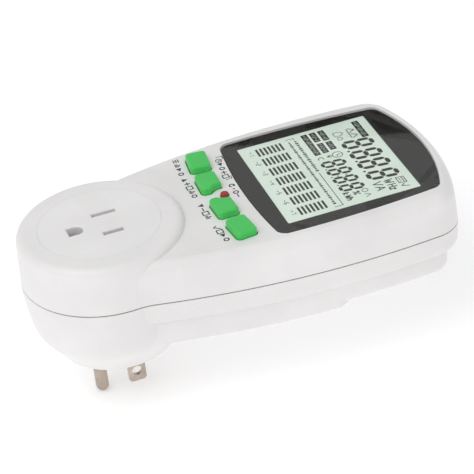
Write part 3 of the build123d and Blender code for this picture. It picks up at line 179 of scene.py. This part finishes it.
WHITE = (0.83, 0.815, 0.815)
# Colour of the painted shade in the seam groove
SEAM_PAINTED_SHADE = (0.16, 0.10, 0.09)
MATERIALS = {
    # The housing's material carries the painted seam shade
    "housing_plastic": painted_seam_shade(plastic("housing_white", WHITE, 0.36, subsurface=0.05), SEAM_PAINTED_SHADE),
    "insert_plastic": plastic("insert_white", (0.84, 0.83, 0.83), 0.33, subsurface=0.05),
    "plug_plastic": plastic("plug_white", WHITE, 0.36, subsurface=0.05),
    "contact_plastic": plastic("contact_block_white", (0.50, 0.48, 0.45), 0.55),
    "plated_blade": metal("nickel_plate", (0.51, 0.435, 0.37), 0.28, (1, 1, 0.08)),
    "contact_brass": metal("spring_brass", (0.72, 0.55, 0.26), 0.3),
    "bar_brass": metal("strip_brass", (0.70, 0.53, 0.26), 0.34),
    "mask_ink": plastic("border_ink", (0.0095, 0.0085, 0.0075), 0.6, mottle=0.12, depth=0.0),
    "reflector_film": plastic("reflector_film", (0.62, 0.70, 0.62), 0.3),
    "zebra_rubber": plastic("connector_rubber", (0.05, 0.05, 0.055), 0.7),
    "holder_plastic": plastic("holder_white", (0.62, 0.62, 0.60), 0.5),
    "board_laminate": plastic("board_green", (0.02, 0.16, 0.06), 0.3, grain=2500.0),
    "key_green": plastic("key_green", (0.05, 0.58, 0.10), 0.38, coat=0.2, subsurface=0.1),
    "reset_red": plastic("reset_red", (0.33, 0.012, 0.012), 0.3, coat=0.3),
    "switch_plastic": plastic("switch_black", (0.02, 0.02, 0.022), 0.5),
    "plunger_plastic": plastic("plunger_black", (0.03, 0.03, 0.033), 0.4),
    "screw_steel": metal("screw_zinc", (0.55, 0.55, 0.54), 0.3),
    "chip_epoxy": plastic("chip_epoxy", (0.012, 0.012, 0.014), 0.6),
    "film_case": plastic("film_case_yellow", (0.62, 0.42, 0.03), 0.35),
    "varistor_coat": plastic("varistor_blue", (0.02, 0.07, 0.35), 0.3),
    "can_sleeve": plastic("can_sleeve", (0.02, 0.03, 0.06), 0.3),
    "resistor_body": plastic("resistor_blue", (0.18, 0.36, 0.44), 0.35),
    "battery_wrap": plastic("battery_green", (0.03, 0.22, 0.08), 0.35),
    "can_metal": metal("crystal_can", (0.62, 0.62, 0.60), 0.25),
    "shunt_alloy": metal("shunt_alloy", (0.45, 0.38, 0.32), 0.35),
    "link_plastic": plastic("link_black", (0.02, 0.02, 0.02), 0.5),
}


def lcd_panel_material():
    """Pale green liquid-crystal panel, its tone varying a little at random in soft clouds."""
    material, tree, principled = shader("lcd_pale_green", (0.74, 0.86, 0.77), 0.55)
    cloud = noise(tree, 60.0, 2.0)
    tinted = ramp(tree, cloud, (0.80, 0.92, 0.82), (0.86, 0.97, 0.88))
    tree.links.new(tinted, principled.inputs["Base Color"])
    bump(tree, principled, noise(tree, 6000.0, 2.0), 0.000002)
    return material


def lens_material():
    """Clear hard-coated acrylic: see-through with a Fresnel reflection."""
    material = bpy.data.materials.new("lens_acrylic")
    material.use_nodes = True
    tree = material.node_tree
    tree.nodes.remove(tree.nodes["Principled BSDF"])
    clear = tree.nodes.new("ShaderNodeBsdfTransparent")
    clear.inputs["Color"].default_value = (0.985, 0.99, 0.985, 1.0)
    gloss = tree.nodes.new("ShaderNodeBsdfGlossy")
    gloss.inputs["Roughness"].default_value = 0.03
    fresnel = tree.nodes.new("ShaderNodeFresnel")
    fresnel.inputs["IOR"].default_value = 1.49
    outside = tree.nodes.new("ShaderNodeMath")
    outside.operation = "SUBTRACT"
    outside.inputs[0].default_value = 1.0
    tree.links.new(tree.nodes.new("ShaderNodeNewGeometry").outputs["Backfacing"], outside.inputs[1])
    share = tree.nodes.new("ShaderNodeMath")
    share.operation = "MULTIPLY"
    tree.links.new(fresnel.outputs["Fac"], share.inputs[0])
    tree.links.new(outside.outputs["Value"], share.inputs[1])
    mix = tree.nodes.new("ShaderNodeMixShader")
    tree.links.new(share.outputs["Value"], mix.inputs["Fac"])
    tree.links.new(clear.outputs["BSDF"], mix.inputs[1])
    tree.links.new(gloss.outputs["BSDF"], mix.inputs[2])
    tree.links.new(mix.outputs["Shader"], tree.nodes["Material Output"].inputs["Surface"])
    return material


MATERIALS["lcd_glass"] = lcd_panel_material()
MATERIALS["lens_clear"] = lens_material()
MARK_BLACK = plastic("lcd_segment_black", (0.008, 0.009, 0.008), 0.6, depth=0.0)
MARK_GREY = plastic("lcd_segment_grey", (0.05, 0.056, 0.05), 0.4, depth=0.0)
LABEL_PALE = plastic("lcd_label_pale", (0.45, 0.52, 0.45), 0.4, depth=0.0)
FACE_INK = plastic("face_ink", (0.055, 0.055, 0.06), 0.5, depth=0.0)

for part in frame["record"]["subparts"]:
    mesh = NODES[part["node"]].data
    mesh.materials.clear()
    mesh.materials.append(MATERIALS[part["material_slot"]])


# --- Flat marks, built as thin prisms from outlines ---
def prisms(name, outlines, base_z, thickness, material, body):
    """One mesh of thin prisms, each from a closed outline in millimetres."""
    work = bmesh.new()
    for outline in outlines:
        bottom = [work.verts.new(Vector((x, y, base_z)) * MM) for x, y in outline]
        top = [work.verts.new(Vector((x, y, base_z + thickness)) * MM) for x, y in outline]
        work.faces.new(top)
        work.faces.new(bottom[::-1])
        count = len(outline)
        for i in range(count):
            j = (i + 1) % count
            work.faces.new((bottom[i], bottom[j], top[j], top[i]))
    bmesh.ops.recalc_face_normals(work, faces=work.faces)
    mesh = bpy.data.meshes.new(name)
    work.to_mesh(mesh)
    work.free()
    piece = bpy.data.objects.new(name, mesh)
    bpy.context.scene.collection.objects.link(piece)
    mesh.materials.append(material)
    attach(piece, body)
    return piece


def bar(x, y, width, height, slant=0.0):
    """Rectangle from its centre, sheared by slant per millimetre of height."""
    half_w, half_h = width / 2, height / 2
    corners = ((-half_w, -half_h), (half_w, -half_h), (half_w, half_h), (-half_w, half_h))
    return [(x + dx + dy * slant, y + dy) for dx, dy in corners]


def disc(x, y, radius, sides=20):
    """Circle as a polygon."""
    return [
        (x + radius * math.cos(2 * math.pi * i / sides), y + radius * math.sin(2 * math.pi * i / sides))
        for i in range(sides)
    ]


def stroke(points, width):
    """Quadrilaterals along a polyline, one for each run, lengthened to close the corners."""
    pieces = []
    for (x0, y0), (x1, y1) in zip(points, points[1:]):
        along = Vector((x1 - x0, y1 - y0))
        length = along.length
        along.normalize()
        across = Vector((-along.y, along.x)) * (width / 2)
        start = Vector((x0, y0)) - along * (width * 0.3)
        end = start + along * (length + width * 0.6)
        corners = (start - across, end - across, end + across, start + across)
        pieces.append([tuple(corner) for corner in corners])
    return pieces


def arc(x, y, radius, start, end, steps=14):
    """Points on an arc, angles in degrees."""
    return [
        (
            x + radius * math.cos(math.radians(start + (end - start) * i / steps)),
            y + radius * math.sin(math.radians(start + (end - start) * i / steps)),
        )
        for i in range(steps + 1)
    ]


SEGMENTS = {
    "a": ((0, 1), (1, 1)),
    "b": ((1, 1), (1, 0.5)),
    "c": ((1, 0.5), (1, 0)),
    "d": ((0, 0), (1, 0)),
    "e": ((0, 0.5), (0, 0)),
    "f": ((0, 1), (0, 0.5)),
    "g": ((0, 0.5), (1, 0.5)),
}
NUMERAL_SEGMENTS = ("bc", "abged", "abgcd", "fgbc", "afgcd", "afgecd", "abc")


def seven_segment(x, y, width, height, thick, slant, lit="abcdefg"):
    """Hexagonal segments of one digit centred at x, y."""
    made = []
    inner_w, inner_h = width - thick, height - thick
    gap = thick * 0.16
    for key in lit:
        (u0, v0), (u1, v1) = SEGMENTS[key]
        start = Vector(((u0 - 0.5) * inner_w, (v0 - 0.5) * inner_h))
        end = Vector(((u1 - 0.5) * inner_w, (v1 - 0.5) * inner_h))
        along = (end - start).normalized()
        across = Vector((-along.y, along.x)) * (thick / 2)
        start, end = start + along * gap, end - along * gap
        tip = along * (thick / 2)
        near_side = (start + tip - across, end - tip - across)
        far_side = (end - tip + across, start + tip + across)
        outline = (start, *near_side, end, *far_side)
        made.append([(x + p.x + p.y * slant, y + p.y) for p in outline])
    return made


LETTERS = {
    "W": [((0, 1), (0.25, 0), (0.5, 0.7), (0.75, 0), (1, 1))],
    "V": [((0, 1), (0.5, 0), (1, 1))],
    "A": [((0, 0), (0.5, 1), (1, 0)), ((0.2, 0.35), (0.8, 0.35))],
    "H": [((0, 0), (0, 1)), ((1, 0), (1, 1)), ((0, 0.5), (1, 0.5))],
    "z": [((0, 0.6), (0.9, 0.6), (0, 0), (0.9, 0))],
    "k": [((0, 0), (0, 1)), ((0.7, 0.62), (0, 0.28), (0.75, 0))],
    "h": [((0, 0), (0, 1)), ((0, 0.5), (0.4, 0.62), (0.7, 0.45), (0.7, 0))],
    "%": [
        ((0, 0), (1, 1)),
        ((0.05, 0.75), (0.3, 0.75), (0.3, 1), (0.05, 1), (0.05, 0.75)),
        ((0.7, 0), (0.95, 0), (0.95, 0.25), (0.7, 0.25), (0.7, 0)),
    ],
}


def unit(text, x, y, height, width, thick, gap=0.35, slant=0.1):
    """Stroke outlines of a unit symbol whose lower left corner is at x, y."""
    made = []
    for letter in text:
        for points in LETTERS[letter]:
            placed = [(x + u * width + v * height * slant, y + v * height) for u, v in points]
            made += stroke(placed, thick)
        x += width * (1 + gap)
    return made


# --- LCD content: black segments, grey symbols and label boxes ---
SLANT = 0.11
BIG_DIGITS_X = (-10.85, -3.15, 4.15, 12.15)
BIG_DIGITS_Y = 108.5
BIG_POINTS_X = (-7.25, 0.35, 7.9)
BIG_POINTS_Y = 103.45
SMALL_DIGITS_X = (-2.45, 3.2, 9.1, 14.75)
SMALL_DIGITS_Y = 95.8
SMALL_POINTS_X = (0.35, 6.0, 11.8)
SMALL_POINTS_Y = 91.9
black, grey, pale = [], [], []
for digit_x in BIG_DIGITS_X:
    black += seven_segment(digit_x, BIG_DIGITS_Y, 5.8, 11.6, 1.6, SLANT)
for point_x in BIG_POINTS_X:
    black.append(disc(point_x, BIG_POINTS_Y, 0.5))
for digit_x in SMALL_DIGITS_X:
    black += seven_segment(digit_x, SMALL_DIGITS_Y, 4.4, 9.0, 1.25, SLANT)
for point_x in SMALL_POINTS_X:
    black.append(disc(point_x, SMALL_POINTS_Y, 0.32))
# Colon between the second and third small digits
grey += [disc(6.3, 97.3, 0.35), disc(6.05, 94.1, 0.35)]

# Word boxes: low x, high x, middle y and height
LABELS = (
    (-25.7, -13.8, 112.8, 2.5),
    (-25.7, -18.4, 99.45, 2.3),
    (-17.3, -11.4, 99.45, 2.3),
    (-25.7, -18.9, 96.2, 2.3),
    (-17.5, -10.5, 96.2, 2.3),
    (-25.7, -10.2, 93.0, 2.3),
)
LABEL_MARGIN = 0.5
TICK_PITCH = 1.05
for low_x, high_x, label_y, label_h in LABELS:
    black.append(bar((low_x + high_x) / 2, label_y, high_x - low_x, label_h))
    span = high_x - low_x - 2 * LABEL_MARGIN
    ticks = int(span / TICK_PITCH)
    for i in range(ticks):
        tick_x = low_x + LABEL_MARGIN + span * (i + 0.5) / ticks
        tick_h = label_h * (0.34 + 0.2 * ((i * 7) % 3))
        pale.append(bar(tick_x, label_y, 0.45, tick_h, 0.25))

# Seven columns of bars, each with a minus sign and its numeral below
COLUMN_X = (-22.2, -15.0, -7.8, -0.75, 6.35, 13.4, 20.6)
COLUMN_ROWS = 7
FIRST_BAR_Y = 74.35
BAR_PITCH = 1.51
NUMERAL_Y = 71.9
for column, column_x in enumerate(COLUMN_X):
    for row in range(COLUMN_ROWS):
        black.append(bar(column_x, FIRST_BAR_Y + BAR_PITCH * row, 5.1, 0.8))
    grey += [bar(column_x - 1.2, NUMERAL_Y, 0.9, 0.28)]
    grey += seven_segment(column_x + 0.35, NUMERAL_Y, 1.1, 1.9, 0.3, 0.1, NUMERAL_SEGMENTS[column])

# Units to the right of both rows: text, lower left corner, height and letter width
UNIT_STROKE = 0.46
GREY_UNITS = (
    ("W", 16.4, 107.1, 2.9, 2.3),
    ("Hz", 19.9, 107.1, 2.9, 1.5),
    ("V", 16.2, 102.9, 3.0, 2.3),
    ("A", 19.3, 102.9, 3.0, 2.3),
    ("kWh", 17.4, 91.5, 2.1, 1.45),
    ("%", 18.2, 94.9, 2.0, 1.8),
)
for text, unit_x, unit_y, unit_h, unit_w in GREY_UNITS:
    grey += unit(text, unit_x, unit_y, unit_h, unit_w, UNIT_STROKE)
# Calendar sheet with three marks in it, tick, then a ring and an arrowhead by the percent sign
grey += stroke([(16.8, 111.4), (20.6, 111.4), (20.9, 114.1), (17.1, 114.1), (16.8, 111.4)], 0.32)
grey += [bar(18.9, 113.3, 3.6, 0.3)] + [bar(17.9 + 0.9 * i, 112.3, 0.42, 0.42) for i in range(3)]
grey += stroke([(21.6, 112.7), (22.6, 111.5), (23.6, 114.0)], 0.36)
grey += stroke(arc(19.0, 99.1, 1.05, 0, 360), 0.26)
grey += stroke([(21.2, 98.2), (22.2, 100.0), (23.2, 98.2)], 0.28)
# Two peaks on a base line, a house and a bell
HOUSE = ((-21.6, 102.8), (-21.6, 105.0), (-20.2, 106.3), (-18.8, 105.0), (-18.8, 102.8), (-21.6, 102.8))
grey += stroke([(-22.0, 108.6), (-20.6, 110.7), (-19.2, 108.6)], 0.34)
grey += stroke([(-18.2, 108.6), (-16.8, 110.7), (-15.4, 108.6)], 0.34)
grey += [bar(-18.7, 108.1, 6.2, 0.3)]
grey += stroke(HOUSE, 0.22)
grey += stroke(arc(-16.9, 104.0, 0.9, -30, 210), 0.22) + [bar(-16.9, 103.2, 2.4, 0.2)]
# Clock with day and night marks below it
grey += stroke(arc(-7.4, 99.2, 1.85, 0, 360, 24), 0.28)
grey += stroke([(-7.4, 100.4), (-7.4, 99.1), (-6.4, 98.8)], 0.28)
grey += [disc(-7.6, 95.9, 0.55)] + stroke(arc(-7.6, 95.9, 1.0, 20, 160), 0.2)
grey += stroke(arc(-7.4, 92.9, 0.9, 60, 300), 0.32)
# Bracket over the columns, and two rows of small markers
BRACKET_TOP_Y = 89.0
BRACKET_FOOT_Y = 85.9
MARKER_ROW_Y = 86.7
grey += stroke([(-25.5, BRACKET_FOOT_Y), (-25.5, BRACKET_TOP_Y), (-24.2, BRACKET_TOP_Y)], 0.22)
grey += stroke([(1.0, BRACKET_TOP_Y), (24.0, BRACKET_TOP_Y), (24.0, BRACKET_FOOT_Y)], 0.26)
for i in range(17):
    grey.append(bar(-22.9 + 1.38 * i, BRACKET_TOP_Y, 0.85, 0.75 + 0.25 * ((i * 5) % 3)))
for i in range(33):
    grey.append(bar(-23.0 + 1.4 * i, MARKER_ROW_Y, 0.95, 0.55 + 0.22 * ((i * 4) % 3)))

MARK_LIFT = 0.01
MARK_T = 0.02
TICK_LIFT = 0.035
TICK_T = 0.01
prisms("lcd_black_segments", black, LCD_Z + MARK_LIFT, MARK_T, MARK_BLACK, "housing")
prisms("lcd_grey_symbols", grey, LCD_Z + MARK_LIFT, MARK_T, MARK_GREY, "housing")
prisms("lcd_label_ticks", pale, LCD_Z + TICK_LIFT, TICK_T, LABEL_PALE, "housing")

# --- Printed symbols beside the keys ---
ICON = 2.1
INK = 0.42


def icon(kind, x, y):
    """Outlines of one printed symbol centred at x, y; a dot where the kind has no form of its own."""
    half = ICON / 2
    if kind == "up":
        return [[(x - half, y - half), (x + half, y - half), (x, y + half)]]
    if kind == "down":
        return [[(x - half, y + half), (x, y - half), (x + half, y + half)]]
    if kind == "next":
        return [[(x - half, y - half), (x + half, y), (x - half, y + half)]]
    if kind == "plus":
        return [bar(x, y, ICON, INK), bar(x, y, INK, ICON)]
    if kind == "minus":
        return [bar(x, y, ICON, INK)]
    if kind == "list":
        return [bar(x, y + step, ICON, INK) for step in (-0.8, 0.0, 0.8)]
    if kind == "chart":
        columns = ((-0.75, 1.1), (0.0, 2.1), (0.75, 1.5))
        return [bar(x + step, y - half + tall / 2, 0.5, tall) for step, tall in columns]
    if kind == "ring":
        return stroke(arc(x, y, half - INK / 2, 0, 360, 20), INK)
    if kind == "clock":
        hands = [(x, y + 0.8), (x, y), (x + 0.6, y - 0.2)]
        return stroke(arc(x, y, half, 0, 360, 24), 0.32) + stroke(hands, 0.32)
    if kind == "box":
        signs = ((-1, -1), (1, -1), (1, 1), (-1, 1), (-1, -1))
        return stroke([(x + half * across, y + half * up) for across, up in signs], INK)
    if kind == "tick":
        return stroke([(x - half, y), (x - 0.3, y - half), (x + half, y + half)], INK)
    if kind == "turn":
        arrowhead = [(x, y + half + 0.3), (x, y + 0.15), (x + 1.0, y + 0.75)]
        return stroke(arc(x, y, half - 0.2, 70, 340, 18), INK) + [arrowhead]
    return [disc(x, y, 0.4)]


# Symbols, then the ends of their row: first x, y and last x, y
ICON_ROWS = (
    (("list", "chart", "next", "ring"), (-29.9, 45.7), (-20.7, 44.8)),
    (("up", "plus", "box", "chart", "ring"), (-16.4, 44.75), (-4.7, 44.5)),
    (("down", "minus", "box", "chart"), (2.3, 44.3), (10.4, 44.6)),
    (("tick", "box", "next", "ring"), (18.0, 45.0), (26.4, 45.7)),
    (("clock", "next", "ring", "plus", "box"), (-22.8, 59.6), (-11.6, 58.5)),
    (("turn", "dot", "ring", "minus"), (-4.9, 58.4), (2.3, 58.3)),
)
ink = []
for kinds, (first_x, first_y), (last_x, last_y) in ICON_ROWS:
    for i, kind in enumerate(kinds):
        along = i / (len(kinds) - 1)
        ink += icon(kind, first_x + (last_x - first_x) * along, first_y + (last_y - first_y) * along)
# Corner marks over the menu key's row of symbols
ink += stroke([(-25.3, 59.4), (-25.3, 61.6), (-23.4, 61.4)], 0.3)
ink += stroke([(-9.4, 57.9), (-9.4, 60.1), (-11.2, 60.2)], 0.3)
prisms("face_symbols", ink, FACE_Z, MARK_T, FACE_INK, "housing")


# --- Floor, light and camera ---
def floor_material():
    """Pale matt studio floor."""
    material, tree, principled = shader("studio_floor", (0.93, 0.93, 0.93), 0.9)
    mottled = ramp(tree, noise(tree, 3.0), (0.92, 0.92, 0.92), (0.95, 0.95, 0.95))
    tree.links.new(mottled, principled.inputs["Base Color"])
    principled.inputs["Emission Color"].default_value = (1, 1, 1, 1)
    principled.inputs["Emission Strength"].default_value = 0.25
    return material


FLOOR_HALF = 4.0
FLOOR_Z = cad_box[0].z
floor_mesh = bpy.data.meshes.new("floor")
floor_signs = ((-1, -1), (1, -1), (1, 1), (-1, 1))
floor_corners = [(x * FLOOR_HALF, y * FLOOR_HALF, FLOOR_Z) for x, y in floor_signs]
floor_mesh.from_pydata(floor_corners, [], [(0, 1, 2, 3)])
floor_mesh.materials.append(floor_material())
floor = bpy.data.objects.new("floor", floor_mesh)
bpy.context.scene.collection.objects.link(floor)

world = bpy.data.worlds.new("studio")
world.use_nodes = True
world.node_tree.nodes["Background"].inputs["Color"].default_value = (1.0, 1.0, 1.0, 1.0)
world.node_tree.nodes["Background"].inputs["Strength"].default_value = 0.69
bpy.context.scene.world = world
bpy.context.scene.view_settings.view_transform = "Standard"


def area_light(name, place, aim, size, power):
    """Square soft box at place, facing aim."""
    data = bpy.data.lights.new(name, "AREA")
    data.size = size
    data.energy = power
    light = bpy.data.objects.new(name, data)
    light.location = place
    light.rotation_mode = "QUATERNION"
    light.rotation_quaternion = (Vector(aim) - Vector(place)).to_track_quat("-Z", "Y")
    bpy.context.scene.collection.objects.link(light)


BODY_MIDDLE = (0.0, 0.06, 0.03)
CAMERA_PLACE = Vector((0.621, -0.112, 0.4527))
area_light("key_box", (0.35, -0.45, 0.9), BODY_MIDDLE, 0.7, 3.1)
area_light("fill_box", (0.9, 0.5, 0.35), BODY_MIDDLE, 0.6, 0.1)


def reflected(x, y, reach=0.25):
    """Place seen in the lens at x, y (mm) from the camera, reach metres beyond it."""
    point = Vector((x, y, FACE_Z)) * MM
    ray = (point - CAMERA_PLACE).normalized()
    return point + Vector((ray.x, ray.y, -ray.z)) * reach


# Dark card whose reflection covers the far side of the lens, seen by glossy rays only
edge_near, edge_far = reflected(-30.0, 66.0), reflected(-10.5, 118.0)
edge_run = edge_far - edge_near
card_edge = (edge_near - edge_run * 0.5, edge_far + edge_run * 0.6)
card_depth = Vector((-0.12, 0.0, 0.0))
card_mesh = bpy.data.meshes.new("dark_card")
card_back = (card_edge[1] + card_depth, card_edge[0] + card_depth)
card_mesh.from_pydata([*card_edge, *card_back], [], [(0, 1, 2, 3)])
card_mesh.materials.append(shader("card_black", (0.004, 0.004, 0.004), 0.9)[0])
card = bpy.data.objects.new("dark_card", card_mesh)
bpy.context.scene.collection.objects.link(card)
card.visible_camera = False
card.visible_diffuse = False
card.visible_shadow = False

camera_data = bpy.data.cameras.new("camera")
camera_data.sensor_width = 36.0
camera_data.lens = 165.97
camera_data.clip_start = 0.05
camera_data.clip_end = 20.0
camera = bpy.data.objects.new("camera", camera_data)
CAMERA_RIGHT = Vector((0.328, 0.9386, -0.1066)).normalized()
CAMERA_BACK = Vector((0.8046, -0.2184, 0.5522)).normalized()
CAMERA_UP = CAMERA_BACK.cross(CAMERA_RIGHT).normalized()
turn = Matrix((CAMERA_RIGHT, CAMERA_UP, CAMERA_BACK)).transposed()
camera.matrix_world = Matrix.Translation(CAMERA_PLACE) @ turn.to_4x4()
bpy.context.scene.collection.objects.link(camera)
bpy.context.scene.camera = camera
